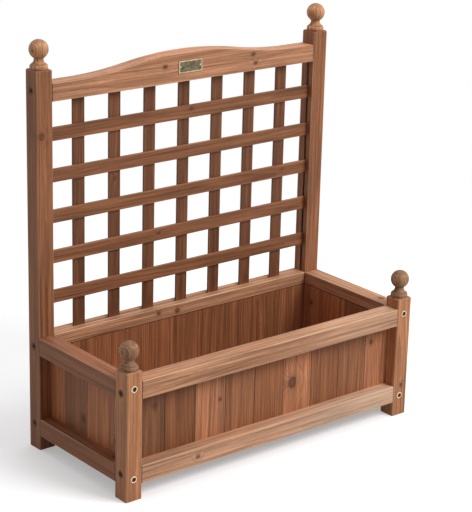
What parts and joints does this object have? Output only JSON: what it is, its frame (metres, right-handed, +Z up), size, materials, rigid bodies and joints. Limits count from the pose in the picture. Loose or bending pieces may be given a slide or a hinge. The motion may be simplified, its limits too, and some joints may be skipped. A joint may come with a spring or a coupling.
{
  "type": "planter with trellis",
  "caption": "Free-standing rectangular wooden planter box on square posts, with a slat trellis under an arched top rail and ball finials on the posts.",
  "frame": {"origin": "on the ground, in the middle of the four posts' outline", "axes": "+X to the viewer's right along the front, +Y from the front to the trellis at the back, +Z up"},
  "size_m": [0.6534, 0.2964, 0.7417],
  "materials": {
    "post_timber": "stained softwood, satin",
    "finial_timber": "stained softwood, satin",
    "arch_timber": "stained softwood, satin",
    "rail_timber": "stained softwood, satin",
    "board_timber": "stained softwood, satin",
    "slat_timber": "stained softwood, satin",
    "floor_timber": "stained softwood, matt",
    "bolt_steel": "yellow-passivated zinc",
    "nut_steel": "zinc plated",
    "brad_steel": "galvanised",
    "screw_steel": "zinc plated",
    "plate_brass": "satin, bare"
  },
  "bodies": {
    "root": {"bearer_back": "floor_timber", "bearer_front": "floor_timber", "bearer_screws": "screw_steel", "board_brads": "brad_steel", "board_front_1": "board_timber", "board_front_2": "board_timber", "board_front_3": "board_timber", "board_front_4": "board_timber", "board_front_5": "board_timber", "board_front_6": "board_timber", "board_front_7": "board_timber", "board_front_8": "board_timber", "board_front_9": "board_timber", "board_left_1": "board_timber", "board_left_2": "board_timber", "board_left_3": "board_timber", "board_left_4": "board_timber", "board_right_1": "board_timber", "board_right_2": "board_timber", "board_right_3": "board_timber", "board_right_4": "board_timber", "boards_back": "board_timber", "cross_nuts": "nut_steel", "finial_front_left": "finial_timber", "finial_front_right": "finial_timber", "finial_rear_left": "finial_timber", "finial_rear_right": "finial_timber", "floor_boards": "floor_timber", "frame_bolts": "bolt_steel", "plate": "plate_brass", "plate_pins": "plate_brass", "post_front_left": "post_timber", "post_front_right": "post_timber", "post_rear_left": "post_timber", "post_rear_right": "post_timber", "rail_arch": "arch_timber", "rail_back_lower": "rail_timber", "rail_back_upper": "rail_timber", "rail_front_lower": "rail_timber", "rail_front_upper": "rail_timber", "rail_left_lower": "rail_timber", "rail_left_upper": "rail_timber", "rail_right_lower": "rail_timber", "rail_right_upper": "rail_timber", "trellis_bar_1": "slat_timber", "trellis_bar_2": "slat_timber", "trellis_bar_3": "slat_timber", "trellis_bar_4": "slat_timber", "trellis_bar_5": "slat_timber", "trellis_brads": "brad_steel", "trellis_upright_1": "slat_timber", "trellis_upright_2": "slat_timber", "trellis_upright_3": "slat_timber", "trellis_upright_4": "slat_timber", "trellis_upright_5": "slat_timber", "trellis_upright_6": "slat_timber", "trellis_upright_7": "slat_timber"}
  },
  "joints": []
}
